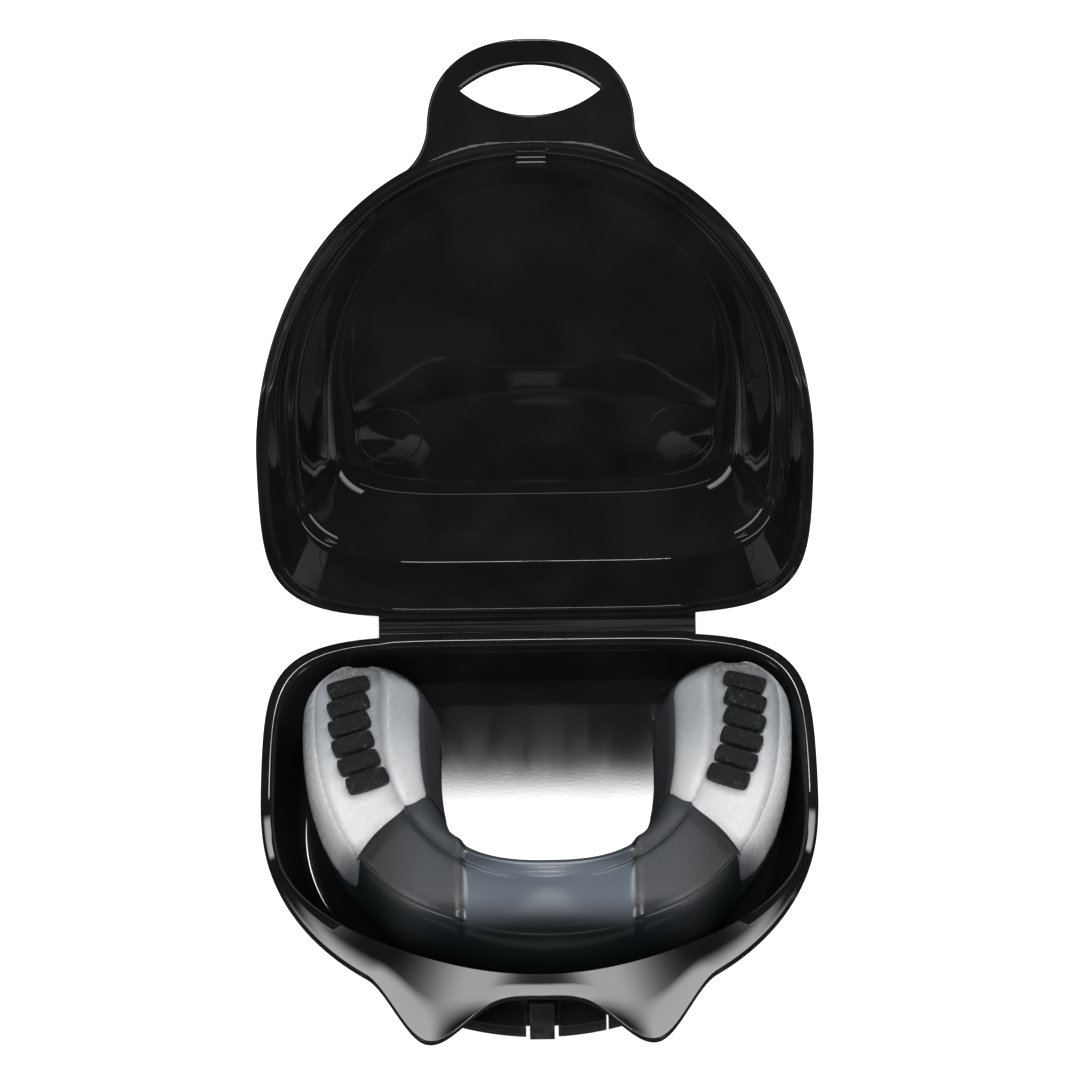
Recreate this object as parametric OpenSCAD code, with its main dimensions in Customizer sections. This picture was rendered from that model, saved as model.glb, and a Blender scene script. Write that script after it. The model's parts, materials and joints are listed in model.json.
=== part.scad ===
// Boxing mouthguard in its hinged carry case, drawn with the lid open and the guard in the tray.
// The origin is the middle of the flat face that the base stands on. The hinge is towards +Y,
// the latch and the carry loop's side of the case towards -Y, +X is to the right and +Z is up.
// Inside the file a place along the case is "d", its distance in front of the hinge line, and a
// height is measured from the parting line at the hinge. Both turn into Y and Z in put().

/* [Case] */
// Half of the case's greatest width, over the rim
rim_half_w = 39; // [38:0.2:44]
// Distance from the hinge line to the widest place
widest_d = 27; // [25:0.5:30]
// How far the rim reaches in front of the widest place
reach_front = 42.3; // [41:0.1:47]
// How far the rim reaches behind the widest place
reach_rear = 26.4; // [24:0.2:26.4]
// Wall thickness
wall = 1.5; // [1:0.1:2]
// Thickness of the rim flange
flange_t = 1.2; // [1:0.1:1.6]
// Width of the flat band on top of the rim
flange_w = 1.7; // [1.2:0.1:2.2]
// Inside depth of the tray, below the parting line at the hinge
tray_depth = 9; // [8.8:0.2:12]
// Inside depth of the lid, above the parting line at the hinge
lid_depth = 18; // [17:0.5:22]
// Slope of the parting line in the front half, as rise over run
parting_slope = 0.4; // [0.35:0.01:0.42]

/* [Hinge] */
// Angle the lid stands open, measured from shut
lid_open_angle = 116; // [90:1:140]
// Width of the living hinge strip
strip_w = 45; // [30:1:50]
// Distance between the strip's two fold lines
strip_len = 2.6; // [2.4:0.1:3.2]
// Thickness of the strip at a fold
strip_t = 0.7; // [0.5:0.05:0.8]

/* [Loop and latch] */
// Half of the carry loop's width
loop_half_w = 14.4; // [13:0.2:16]
// How far the carry loop reaches in front of the hinge line
loop_end_d = 82.5; // [81:0.1:86]
// Half of the finger hole's length
hole_half_l = 9.7; // [8:0.1:10]
// Half of the finger hole's height
hole_half_h = 3.5; // [3:0.1:3.8]
// Thickness of the carry loop
loop_t = 1.4; // [1.2:0.1:1.8]
// Width of the latch tongue
tongue_w = 3.4; // [3:0.1:4]
// Slit on each side of the tongue
tongue_slit = 0.5; // [0.4:0.05:0.8]

/* [Mouthguard] */
// How far the guard lies to the right of the case's middle
guard_shift = 1.2; // [0:0.1:1.4]
// Thickness of the dark front shell
shell_t = 1.2; // [0.8:0.1:1.4]
// Number of bite pads on each arm
pad_count = 6; // [1:1:6]
// Length of one bite pad, across the arm
pad_l = 5.8; // [5:0.1:6]
// Width of one bite pad, along the arm
pad_w = 2.55; // [2:0.05:2.7]
// Distance from one pad to the next
pad_pitch = 3.1; // [3.1:0.05:3.2]

/* [Hidden] */
pad_names = [for (side = ["left", "right"], i = [1 : pad_count]) str("bite_pad_", side, "_", i)];

case_black = [0.05, 0.05, 0.055];
clear_gel = [0.82, 0.87, 0.9, 0.8];
smoke = [0.1, 0.13, 0.16];
pad_black = [0.07, 0.07, 0.07];

around = 4;                       // degrees between the points of a case outline
gap = 0.1;                        // half of the gap between the two shut rims
parting_z = tray_depth + wall;    // height of the parting line at the hinge
bend_from = widest_d;             // the parting line starts to rise here
bend_over = 12;                   // and has its full slope after this length
front_power = 2.1;                // roundness of the front half of the outline
rear_power = 5.5;                 // roundness of the rear corners
rear_taper = 0.035;               // how much the sides draw in towards the hinge

// Floor of the tray and roof of the lid: half width, reach in front and reach behind
floor_size = [33.5, 29, 23.6];
roof_size = [27.7, 33, 16.2];
rim_size = [rim_half_w, reach_front, reach_rear];

// Front ears of the base, on both sides of the thumb notch
ear_x = 15.8;
ear_out = 7;
ear_fade = 8;
notch_in = 3.2;

fold_h = strip_len / 2;           // each fold line lies this far from the parting line
half_open = lid_open_angle / 2;   // each fold turns through half of the lid's angle

function mix(a, b, u) = a + (b - a) * u;
function put(p) = [p.x, widest_d - p.y, parting_z + p.z];
function put_all(ring) = [for (p = ring) put(p)];
function shrunk(size, by) = [for (v = size) v - by];

// Height of the parting line at a distance d in front of the hinge
function parting(d) =
    d < bend_from ? 0
    : d < bend_from + bend_over ? parting_slope * pow(d - bend_from, 2) / bend_over / 2
    : parting_slope * (d - bend_from - bend_over / 2);

// One point of the D-shaped outline; the angle t is 0 at the right and 90 at the front
function outline(t, size) =
    let (front = sin(t) >= 0, e = 2 / (front ? front_power : rear_power),
         s = pow(abs(sin(t)), e), c = sign(cos(t)) * pow(abs(cos(t)), e))
    [size.x * c * (front ? 1 : 1 - rear_taper * s * s),
     widest_d + (front ? size.y * s : -size.z * s)];

// How far the base's rim stands out in front of the plain outline: two ears and a notch
function ease(u) = u * u * (3 - 2 * u);
function ear(x) =
    x < ear_x ? mix(-notch_in, ear_out, pow(ease(x / ear_x), 2))
    : x < ear_x + ear_fade ? ear_out * (1 - ease((x - ear_x) / ear_fade)) : 0;
function base_outline(t, size) =
    let (p = outline(t, size)) [p.x, p.y + (sin(t) > 0 ? ear(abs(p.x)) : 0)];

// A ring at the rim, drawn in by inset and lifted by lift; low_rim gives the base its ears
function rim_ring(inset, lift, low_rim) =
    [for (t = [0 : around : 359.9])
        let (size = shrunk(rim_size, inset),
             p = low_rim ? base_outline(t, size) : outline(t, size))
        [p.x, p.y, parting(p.y) + lift]];

// The base's rim has a flat lip, which is wider in front; this ring is its inner edge, drawn in
// by more
function lip_w(t) = flange_w + lip_extra * ease(max(0, sin(t) - lip_from) / (1 - lip_from));
function lip_ring(more, lift) =
    [for (t = [0 : around : 359.9])
        let (p = outline(t, shrunk(rim_size, lip_w(t) + more))) [p.x, p.y, parting(p.y) + lift]];

// A ring part of the way from a flat panel to the rim, along a bowl-shaped profile.
// The profile leaves the panel flat and comes to the rim steep: bowl_sag says how soon it turns up.
function bowl_ring(u, panel, panel_z, rim) =
    let (across = 2 * u * (1 - u) * bowl_sag + u * u, up = u * u)
    [for (i = [0 : len(rim) - 1])
        let (p = outline(i * around, panel), r = rim[i])
        [mix(p.x, r.x, across), mix(p.y, r.y, across), mix(panel_z, r.z, up)]];

// The faces that close one end of a skin: one flat face, or a ladder of triangles where the
// ring runs out along one line and back along another
function cap(n, first, ladder) = !ladder ? [[for (i = [0 : n - 1]) first + i]]
    : [for (i = [0 : n / 2 - 2]) let (a = first + i, b = first + n - 1 - i)
        each [[a, a + 1, b - 1], [a, b - 1, b]]];
function turned(faces) = [for (f = faces) [for (i = [len(f) - 1 : -1 : 0]) f[i]]];

// A closed solid through rings that all have the same number of points
module skin(rings, ladder = false) {
    n = len(rings[0]);
    m = len(rings);
    polyhedron(points = [for (r = rings) each r],
        faces = concat(turned(cap(n, 0, ladder)),
            [for (j = [0 : m - 2], i = [0 : n - 1])
                let (a = j * n + i, b = j * n + (i + 1) % n) each [[a, b, b + n], [a, b + n, a + n]]],
            cap(n, (m - 1) * n, ladder)),
        convexity = 8);
}

// ---- base ----

bowl_sag = 0.3;
lip_extra = 5.6;                  // how much wider the lip is in the very front
lip_from = 0.25;                  // sine of the outline's angle where it starts to widen
foot_in = 1.2;                    // the foot's edge lies this far inside the floor's
steps = [0.2, 0.35, 0.5, 0.65, 0.8, 0.92];

function base_outside() =
    let (top = lip_ring(-1, -flange_t), foot = shrunk(floor_size, foot_in), wide = shrunk(floor_size, -0.6))
    concat([put_all(bowl_ring(0, foot, -parting_z, top))],
        [for (u = steps) put_all(bowl_ring(u, wide, -parting_z, top))],
        [put_all(top), put_all(rim_ring(0, -flange_t, true)),
         put_all(rim_ring(0, -gap - 0.3, true)), put_all(rim_ring(0.3, -gap, true))]);

function base_inside() =
    let (top = lip_ring(0.2, -0.7))
    concat([put_all(lip_ring(0, -gap)), put_all(lip_ring(0.15, -0.7))],
        [for (i = [len(steps) - 1 : -1 : 0]) put_all(bowl_ring(steps[i], floor_size, -tray_depth, top))],
        [put_all(bowl_ring(0, floor_size, -tray_depth, top))]);

module base_tray() {
    color(case_black) skin(concat(base_outside(), base_inside()));
}

// The bowed ledge under the thumb notch, in front of the wall
skirt_r = 39;                     // radius of its front edge
skirt_d = 66.35;                  // where that edge is, on the middle line
skirt_half_w = 12.5;
skirt_low = 1.5;
skirt_top = 4.5;
tongue_d = 66.55;                 // front face of the tongue
tongue_t = 0.9;
tongue_root = 1.9;                // height of the line that it bends about
tongue_top = 11.5;

module skirt_plan(grow) {
    translate([0, widest_d - skirt_d + skirt_r])
        intersection() {
            circle(r = skirt_r + grow, $fn = 128);
            translate([-skirt_half_w, -skirt_r - 2]) square([2 * skirt_half_w, 12]);
        }
}

module front_skirt() {
    slot_w = tongue_w + 2 * tongue_slit;
    color(case_black) difference() {
        translate([0, 0, parting_z + skirt_low])
            linear_extrude(skirt_top - skirt_low) skirt_plan(0);
        skin(base_outside());
        // the slot that the tongue stands in
        translate([-slot_w / 2, widest_d - skirt_d - 1, parting_z + skirt_low - 1])
            cube([slot_w, tongue_t + 1.8, skirt_top - skirt_low + 2]);
    }
}

module latch_tongue() {
    front = widest_d - tongue_d;
    color(case_black) {
        translate([-tongue_w / 2, front, parting_z + tongue_root])
            cube([tongue_w, tongue_t, tongue_top - tongue_root]);
        translate([-tongue_w / 2, front + tongue_t / 2, parting_z + tongue_root])
            rotate([0, 90, 0]) cylinder(r = tongue_t / 2, h = tongue_w, $fn = 32);
    }
}

// ---- hinge and lid ----

// Turns a shut lid to its open place: half of the angle at each of the two fold lines
module open_lid() {
    fold_y = widest_d;
    translate([0, fold_y, parting_z - fold_h]) rotate([-half_open, 0, 0])
        translate([0, 0, strip_len]) rotate([-half_open, 0, 0])
            translate([0, -fold_y, -parting_z - fold_h]) children();
}

module hinge_strip() {
    color(case_black)
        translate([-strip_w / 2, widest_d, parting_z - fold_h]) rotate([-half_open, 0, 0]) {
            rotate([0, 90, 0]) cylinder(r = strip_t / 2, h = strip_w, $fn = 32);
            translate([0, 0, strip_len]) rotate([0, 90, 0])
                cylinder(r = strip_t / 2, h = strip_w, $fn = 32);
            translate([0, -strip_t / 2, 0]) cube([strip_w, strip_t, strip_len]);
        }
}

// The lid's wall rises in two steps: a steep band above the rim, a ledge, then a sloping band.
// Each pair is the share of the way from the rim to the roof, across and up.
lid_levels = [[0.08, 0.2], [0.2, 0.5], [0.24, 0.53], [0.36, 0.56], [0.6, 0.77], [0.8, 0.92],
    [0.92, 0.98]];

function lid_ring(level, panel, panel_z, inset, lift) =
    let (rim = rim_ring(inset, lift, false))
    [for (i = [0 : len(rim) - 1])
        let (p = outline(i * around, panel), r = rim[i])
        [mix(r.x, p.x, level.x), mix(r.y, p.y, level.x), mix(r.z, panel_z, level.y)]];

module shut_lid() {
    inside = concat([put_all(lid_ring([1, 1], shrunk(roof_size, 1.5), lid_depth, 0, 0))],
        [for (i = [len(lid_levels) - 1 : -1 : 0])
            put_all(lid_ring(lid_levels[i], roof_size, lid_depth, flange_w + 0.2, 0.7))],
        [put_all(rim_ring(flange_w + 0.15, 0.7, false)), put_all(rim_ring(flange_w, gap, false))]);
    outside = concat(
        [put_all(rim_ring(0.3, gap, false)), put_all(rim_ring(0, gap + 0.3, false)),
         put_all(rim_ring(0, flange_t, false)), put_all(rim_ring(0.5, flange_t, false))],
        [for (level = lid_levels)
            put_all(lid_ring(level, shrunk(roof_size, -1.3), lid_depth + wall, 0.5, flange_t))],
        [put_all(lid_ring([1, 1], shrunk(roof_size, -0.6), lid_depth + wall, 0, 0))]);
    skin(concat(inside, outside));
}

module lid_shell() {
    color(case_black) open_lid() shut_lid();
}

// The sloping plane of the front rim: shapes drawn on it have -Y as the way to the front
slope_angle = atan(parting_slope);
slope_from = bend_from + bend_over / 2;
function along(d) = -(d - slope_from) / cos(slope_angle);

module on_front_slope() {
    translate([0, widest_d - slope_from, parting_z]) rotate([-slope_angle, 0, 0]) children();
}

module rim_plan(inset) {
    polygon([for (t = [0 : around : 180])
        let (p = outline(t, shrunk(rim_size, inset))) [p.x, along(p.y)]]);
}

loop_root_d = 70.8;                // the loop's rounded end starts here
hole_d = 75.9;                    // middle of the finger hole
flare_r = 9;                      // hollow blend between the loop and the rim
loop_plan_w = 48;                 // the loop is kept from the rim's whole outline within this width
loop_plan_l = 25;                 // and this distance from its end
loop_foot_d = 60;                 // its outline starts here, inside the rim

module loop_plan() {
    power = 2.3;
    end_l = loop_end_d - loop_root_d;
    polygon(concat(
        [[loop_half_w, along(loop_foot_d)]],
        [for (t = [0 : 5 : 180])
            [loop_half_w * sign(cos(t)) * pow(abs(cos(t)), 2 / power),
             along(loop_root_d + end_l * pow(abs(sin(t)), 2 / power))]],
        [[-loop_half_w, along(loop_foot_d)]]));
}

module carry_loop() {
    lens_r = (pow(hole_half_l, 2) + pow(hole_half_h, 2)) / 2 / hole_half_h;
    color(case_black) open_lid() difference() {
        on_front_slope() translate([0, 0, gap]) linear_extrude(loop_t) difference() {
            intersection() {
                offset(r = -flare_r, $fn = 64) offset(r = flare_r, $fn = 64) {
                    loop_plan();
                    rim_plan(0);
                }
                translate([-loop_plan_w / 2, along(loop_end_d + 1)]) square([loop_plan_w, loop_plan_l]);
            }
            offset(delta = 0.05) rim_plan(0);
            translate([0, along(hole_d)]) intersection() {
                translate([0, lens_r - hole_half_h]) circle(r = lens_r, $fn = 96);
                translate([0, hole_half_h - lens_r]) circle(r = lens_r, $fn = 96);
            }
        }
        shut_lid();
    }
}

// The small catch inside the front of the lid: it drops in front of the tongue as the lid shuts
catch_d = 66.8;                   // its rear face
catch_t = 1.1;
catch_w = 4.2;
catch_low = 11;                   // its tip, above the parting line at the hinge
catch_top = 15.8;
catch_root = 14.8;                // above this height it is thick enough to meet the lid's wall
catch_root_t = 1.4;

module lid_catch() {
    color(case_black) open_lid() difference() {
        for (part = [[catch_t, catch_low], [catch_root_t, catch_root]])
            translate([-catch_w / 2, widest_d - catch_d - part[0], parting_z + part[1]])
                cube([catch_w, part[0], catch_top - part[1]]);
        shut_lid();
    }
}

// ---- mouthguard ----

arch_d = 16;                      // the arms are straight behind this distance
arm_l = 7.6;                      // length of the straight part of an arm
arm_bend = 0.0006;                // how fast the arms lean in towards their ends
end_round = 5;                    // length over which an arm's end is rounded
end_drop = 0.8;                   // how much its top drops there
arm_mid = 26;                     // middle of an arm's width
rise_from = 24;                   // in front of this distance the guard grows taller

// Lines that run round the guard from arm to arm, in the order of the cross-section:
// half width, reach in front of the arms, roundness, height on the arms, height at the front
outer_low = [31.6, 40.7, 2.1, -8.2, -5.8];
outer_bulge = [34.2, 41.9, 2.1, -3, 1];
outer_shoulder = [34.1, 41.1, 2.1, 1.5, 6.5];
outer_rim = [32.7, 39.1, 2.15, 4.6, 10];
bite_outer = [31.4, 37.1, 2.2, 4.2, 11];
bite_inner = [24.8, 32, 1.9, 4.2, 11.2];
ridge = [22.4, 29.8, 2.2, 5, 11];
inner_edge = [18.3, 27.3, 2.6, 3.6, 10.3];
lingual_mid = [16.1, 25.9, 2.8, -1.5, 5];
lingual_low = [15.2, 25.2, 2.8, -6, 1.5];
lingual_in = [17.2, 27.2, 2.8, -6, 1.5];
channel_in = [20.8, 29.5, 2.3, 0.8, 6.4];
channel_out = [29.8, 35.7, 2.2, 0.8, 6.4];
outer_in = [29.6, 38.1, 2.1, -8.2, -5.8];

shell_lines = [outer_low, outer_bulge, outer_shoulder, outer_rim, bite_outer, bite_inner,
    ridge, inner_edge];
// The same lines drawn inwards by the shell's thickness: share taken off the width, and off the height
shell_in = [[1, 0], [1, 0], [0.95, 0.3], [0.75, 0.75], [0.25, 1], [0, 1], [-0.1, 1], [-0.75, 0.7]];
rest_lines = [lingual_mid, lingual_low, lingual_in, channel_in, channel_out, outer_in];

// A station q runs along the guard: below 0 on the right arm, 0 to 180 round the arch, then the left
function over_arm(q) = q < 0 ? -q : q > 180 ? q - 180 : 0;
function arm_end(q) =
    let (e = max(0, over_arm(q) - (arm_l - end_round)) / end_round) sqrt(1 - 0.85 * e * e);

function taller(d, front_d) = pow(max(0, d - rise_from) / (front_d - rise_from), 1.7);

function guard_point(q, line, pull) =
    let (t = min(180, max(0, q)), e = over_arm(q), r = arm_end(q),
         half = line[0] - pull[0] * shell_t, reach = line[1] - pull[0] * shell_t,
         p = 2 / line[2], side = q < 90 ? 1 : -1,
         x = half * pow(abs(cos(t)), p) * (1 - arm_bend * e * e),
         d = arch_d - e + reach * pow(sin(t), p))
    [side * (e > 0 ? mix(arm_mid, x, r) : x) + guard_shift, d,
     mix(line[3], line[4], taller(d, arch_d + reach)) - pull[1] * shell_t
         - (1 - r) * (line[3] > 0 ? end_drop : 0)];

no_pull = [0, 0];
liner_clear = 1.04;               // draws the liner in a hair further than the shell's inner face
shell_from = 30;                  // the shell covers the arch from here
shell_to = 180 - shell_from;      // to here
end_stations = [7.5, 7, 6.2, 5, 3.5, 1.8];
liner_stations = concat([for (e = end_stations) -e], [for (q = [0 : 6 : 24]) q],
    [shell_from - 0.4], [for (q = [shell_from : 6 : shell_to]) q], [shell_to + 0.4],
    [for (q = [156 : 6 : 180]) q],
    [for (i = [len(end_stations) - 1 : -1 : 0]) 180 + end_stations[i]]);

function liner_ring(q) =
    let (covered = q >= shell_from && q <= shell_to)
    concat(
        [for (i = [0 : len(shell_lines) - 1])
            put(guard_point(q, shell_lines[i], covered ? shell_in[i] * liner_clear : no_pull))],
        [for (line = rest_lines) put(guard_point(q, line, no_pull))]);

module guard_liner() {
    color(clear_gel) skin([for (q = liner_stations) liner_ring(q)]);
}

function shell_ring(q) =
    let (last = len(shell_lines) - 1)
    concat([for (i = [0 : last]) put(guard_point(q, shell_lines[i], no_pull))],
        [for (i = [last : -1 : 0]) put(guard_point(q, shell_lines[i], shell_in[i]))]);

// Two breathing slots near the foot of the front face
vent_x = 9.2;
vent_reach = 39.5;                // how far they lie in front of the arms
vent_low = 2.6;                   // how far below the parting line's height at the hinge
vent_lean = 12;
vent_size = [2.4, 12, 0.9];

module guard_shell() {
    color(smoke) difference() {
        skin([for (q = [shell_from : 5 : shell_to]) shell_ring(q)], ladder = true);
        for (side = [-1, 1])
            translate([guard_shift + side * vent_x, widest_d - arch_d - vent_reach, parting_z - vent_low])
                rotate([0, side * vent_lean, 0]) cube(vent_size, center = true);
    }
}

first_pad_d = 11.7;
pad_row_x = 27.8;                 // middle of the row on the straight arm
pad_row_bend = 0.018;             // how fast the row turns in with the arch
pad_turn = -20;
pad_t = 0.7;
pad_corner = 0.9;
pad_lift = 0.12;                  // clearance between a pad and the surface under it

// Pad i of one arm, counted from the arm's rear end; side is 1 on the right and -1 on the left
module bite_pad(side, i) {
    d = first_pad_d + (i - 1) * pad_pitch;
    x = pad_row_x - pad_row_bend * pow(max(0, d - 15), 2);
    rise = (bite_outer[4] - bite_outer[3]) * taller(d + pad_w / 2, arch_d + bite_inner[1]);
    if (i <= pad_count)
        color(pad_black)
            translate([guard_shift + side * x, widest_d - d, parting_z + bite_outer[3] + rise + pad_lift])
                rotate([0, 0, side * pad_turn]) linear_extrude(pad_t)
                    offset(r = pad_corner, $fn = 24)
                        square([pad_l - 2 * pad_corner, pad_w - 2 * pad_corner], center = true);
}

base_tray();
front_skirt();
latch_tongue();
hinge_strip();
lid_shell();
carry_loop();
lid_catch();
guard_liner();
guard_shell();
bite_pad(-1, 1);  // bite_pad_left_1
bite_pad(-1, 2);  // bite_pad_left_2
bite_pad(-1, 3);  // bite_pad_left_3
bite_pad(-1, 4);  // bite_pad_left_4
bite_pad(-1, 5);  // bite_pad_left_5
bite_pad(-1, 6);  // bite_pad_left_6
bite_pad(1, 1);  // bite_pad_right_1
bite_pad(1, 2);  // bite_pad_right_2
bite_pad(1, 3);  // bite_pad_right_3
bite_pad(1, 4);  // bite_pad_right_4
bite_pad(1, 5);  // bite_pad_right_5
bite_pad(1, 6);  // bite_pad_right_6
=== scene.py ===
# Looks for the mouthguard in its hinged carry case. Shapes are worked out in millimetres, in the
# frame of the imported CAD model, and become metres when a mesh is made. As in the CAD model, a place
# along the case is "d", its distance in front of the hinge line, and a height is measured from the
# parting line at the hinge.
import json
import math

import bmesh
import bpy
import numpy as np
from mathutils import Matrix, Vector


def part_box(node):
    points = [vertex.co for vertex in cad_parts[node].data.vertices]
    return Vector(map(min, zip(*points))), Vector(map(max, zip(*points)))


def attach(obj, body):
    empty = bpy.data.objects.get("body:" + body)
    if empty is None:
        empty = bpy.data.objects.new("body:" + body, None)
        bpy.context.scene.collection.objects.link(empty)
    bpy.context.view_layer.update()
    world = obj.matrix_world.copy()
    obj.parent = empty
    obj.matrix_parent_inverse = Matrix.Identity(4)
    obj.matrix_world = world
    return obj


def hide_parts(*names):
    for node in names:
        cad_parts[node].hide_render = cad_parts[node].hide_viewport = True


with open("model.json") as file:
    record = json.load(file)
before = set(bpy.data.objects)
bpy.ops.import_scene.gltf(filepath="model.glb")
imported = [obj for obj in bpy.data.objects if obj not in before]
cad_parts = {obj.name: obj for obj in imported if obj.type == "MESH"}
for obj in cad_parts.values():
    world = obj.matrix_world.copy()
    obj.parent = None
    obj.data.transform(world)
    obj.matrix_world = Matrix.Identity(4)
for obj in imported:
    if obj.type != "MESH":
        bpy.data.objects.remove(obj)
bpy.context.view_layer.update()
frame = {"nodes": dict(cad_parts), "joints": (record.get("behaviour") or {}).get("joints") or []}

MM = 0.001


# ---- places from the frame ----

JOINTS = {joint["name"]: joint for joint in frame["joints"]}
FOLD_LOW = np.array(JOINTS["lid_swing"]["pos_m"]) / MM
FOLD_HIGH = np.array(JOINTS["lid_fold"]["pos_m"]) / MM
STRIP_LEN = float(np.linalg.norm(FOLD_HIGH - FOLD_LOW))
HALF_OPEN = math.atan2(FOLD_HIGH[1] - FOLD_LOW[1], FOLD_HIGH[2] - FOLD_LOW[2])
HINGE_Y = float(FOLD_LOW[1])
PARTING_Z = float(FOLD_LOW[2]) + STRIP_LEN / 2


def box_mm(node):
    """Lowest and highest corner of a CAD node, in millimetres."""
    low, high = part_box(node)
    return np.array(low) / MM, np.array(high) / MM


# ---- the case's outline, as in the CAD model ----

RIM = (39, 42.3, 26.4)          # half width, reach in front of the widest place, reach behind it
FLOOR = (33.5, 29, 23.6)
ROOF = (27.7, 33, 16.2)
WIDEST_D = HINGE_Y
FLANGE_W = 1.7
FLANGE_T = 1.2
LIP_EXTRA = 5.6                 # how much wider the base's lip is in the very front
LIP_FROM = 0.25
LIP_SINK = 0.4                  # how far the rim is sunk in front, under the lid's own rim
LIP_RISE = 0.2                  # how fast the wide lip rises towards its inner edge
WALL = 1.5
TRAY_DEPTH = 9
LID_DEPTH = 18
FRONT_POWER = 2.1
REAR_POWER = 5.5
REAR_TAPER = 0.035
SLOPE = 0.4                     # of the parting line in the front half
BEND_FROM = 27
BEND_OVER = 12
EAR_X, EAR_OUT, EAR_FADE, NOTCH_IN = 15.8, 7, 8, 3.2
STRIP_HALF = 22.5
AROUND = 400                    # points round the case


def mix(a, b, u):
    return a + (b - a) * u


def ease(u):
    u = np.clip(u, 0, 1)
    return u * u * (3 - 2 * u)


def shrunk(size, by):
    return tuple(v - by for v in size)


def put(points):
    """From (x, d, height) to the frame's (x, y, z)."""
    x, d, h = np.asarray(points, float).T
    return np.stack([x, WIDEST_D - d, PARTING_Z + h], axis=1)


def parting(d):
    rising = SLOPE * (d - BEND_FROM) ** 2 / BEND_OVER / 2
    straight = SLOPE * (d - BEND_FROM - BEND_OVER / 2)
    return np.where(d < BEND_FROM, 0, np.where(d < BEND_FROM + BEND_OVER, rising, straight))


def outline(t, size):
    """The D-shaped outline: x and d at the angles t, which are 0 at the right and 90 degrees in front."""
    front = np.sin(t) >= 0
    e = 2 / np.where(front, FRONT_POWER, REAR_POWER)
    s = np.abs(np.sin(t)) ** e
    c = np.sign(np.cos(t)) * np.abs(np.cos(t)) ** e
    x = size[0] * c * np.where(front, 1, 1 - REAR_TAPER * s * s)
    return x, WIDEST_D + np.where(front, size[1] * s, -size[2] * s)


def even_angles():
    """Angles that space the points evenly along the rim."""
    t = np.linspace(0, 2 * math.pi, 20001)
    x, d = outline(t, RIM)
    run = np.concatenate([[0], np.cumsum(np.hypot(np.diff(x), np.diff(d)))])
    return np.interp(np.arange(AROUND) / AROUND * run[-1], run, t)


T = even_angles()
IN_FRONT = np.sin(T) > 0


def ear(x):
    """How far the base's front edge stands out from the outline: two ears and a notch between them."""
    inner = mix(-NOTCH_IN, EAR_OUT, ease(x / EAR_X) ** 2)
    return np.where(x < EAR_X, inner, EAR_OUT * (1 - ease((x - EAR_X) / EAR_FADE)))


def hinge_land(x):
    """How far the rim reaches back to the fold line where the hinge strip joins it."""
    return 0.4 * ease((STRIP_HALF - np.abs(x)) / 1.5)


def rim_ring(inset, lift, low_rim):
    x, d = outline(T, shrunk(RIM, inset))
    out = np.where(IN_FRONT & low_rim, ear(np.abs(x)), 0)
    d = d + out - np.where(IN_FRONT, 0, hinge_land(x))
    lower = lip_share() * (LIP_SINK + LIP_RISE * out) if low_rim else 0
    return np.stack([x, d, parting(d) + lift - lower], axis=1)


def lip_share():
    """From 0 where the base's lip is narrow, at the sides and behind, to 1 in the very front."""
    return ease(np.maximum(0, np.sin(T) - LIP_FROM) / (1 - LIP_FROM))


def lip_width():
    return FLANGE_W + LIP_EXTRA * lip_share()


def lip_ring(more, lift):
    """The inner edge of the base's flat lip, which is wider in front, drawn in by more."""
    x, d = outline(T, tuple(side - lip_width() - more for side in RIM))
    return np.stack([x, d, parting(d) + lift], axis=1)


def lip_surface():
    """Three rings over the lip, which lies flatter than the parting line: rim, middle, inner edge."""
    rim, inner = rim_ring(0.9, -0.1, True), lip_ring(-0.3, -0.1)
    inner[:, 2] += lip_share() * (LIP_RISE * lip_width() - LIP_SINK)
    return rim, mix(inner, rim, 0.5), inner


def panel_ring(size, height):
    x, d = outline(T, size)
    return np.stack([x, d, np.full_like(x, height)], axis=1)


# ---- meshes ----

def rounded(rings, radii, steps=4):
    """The rings, with the corner at each inner ring rounded over its radius."""
    out = [rings[0]]
    for before, at, after, radius in zip(rings, rings[1:], rings[2:], radii[1:]):
        if radius == 0:
            out.append(at)
            continue
        ends = []
        for other in (before, after):
            gap = other - at
            length = np.maximum(np.linalg.norm(gap, axis=1), 1e-6)
            ends.append(at + gap * np.minimum(0.46, radius / length)[:, None])
        for u in np.linspace(0, 1, steps + 1):
            out.append((1 - u) ** 2 * ends[0] + 2 * u * (1 - u) * at + u * u * ends[1])
    out.append(rings[-1])
    return out


def make(name, verts, faces, body, material, sharp=42, bevel=0):
    """A piece from points in millimetres, smooth apart from its sharp edges."""
    mesh = bpy.data.meshes.new(name)
    mesh.from_pydata([tuple(p) for p in np.asarray(verts) * MM], [], faces)
    mesh.validate()
    bm = bmesh.new()
    bm.from_mesh(mesh)
    bmesh.ops.remove_doubles(bm, verts=bm.verts, dist=1e-7)
    bmesh.ops.recalc_face_normals(bm, faces=bm.faces)
    bm.to_mesh(mesh)
    bm.free()
    mesh.shade_smooth()
    mesh.set_sharp_from_angle(angle=math.radians(sharp))
    mesh.materials.append(material)
    piece = bpy.data.objects.new(name, mesh)
    bpy.context.scene.collection.objects.link(piece)
    if bevel:
        rounding = piece.modifiers.new("rounding", "BEVEL")
        rounding.width = bevel * MM
        rounding.segments = 3
        rounding.limit_method = "ANGLE"
        rounding.angle_limit = math.radians(35)
        rounding.harden_normals = True
    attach(piece, body)
    return piece


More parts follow.
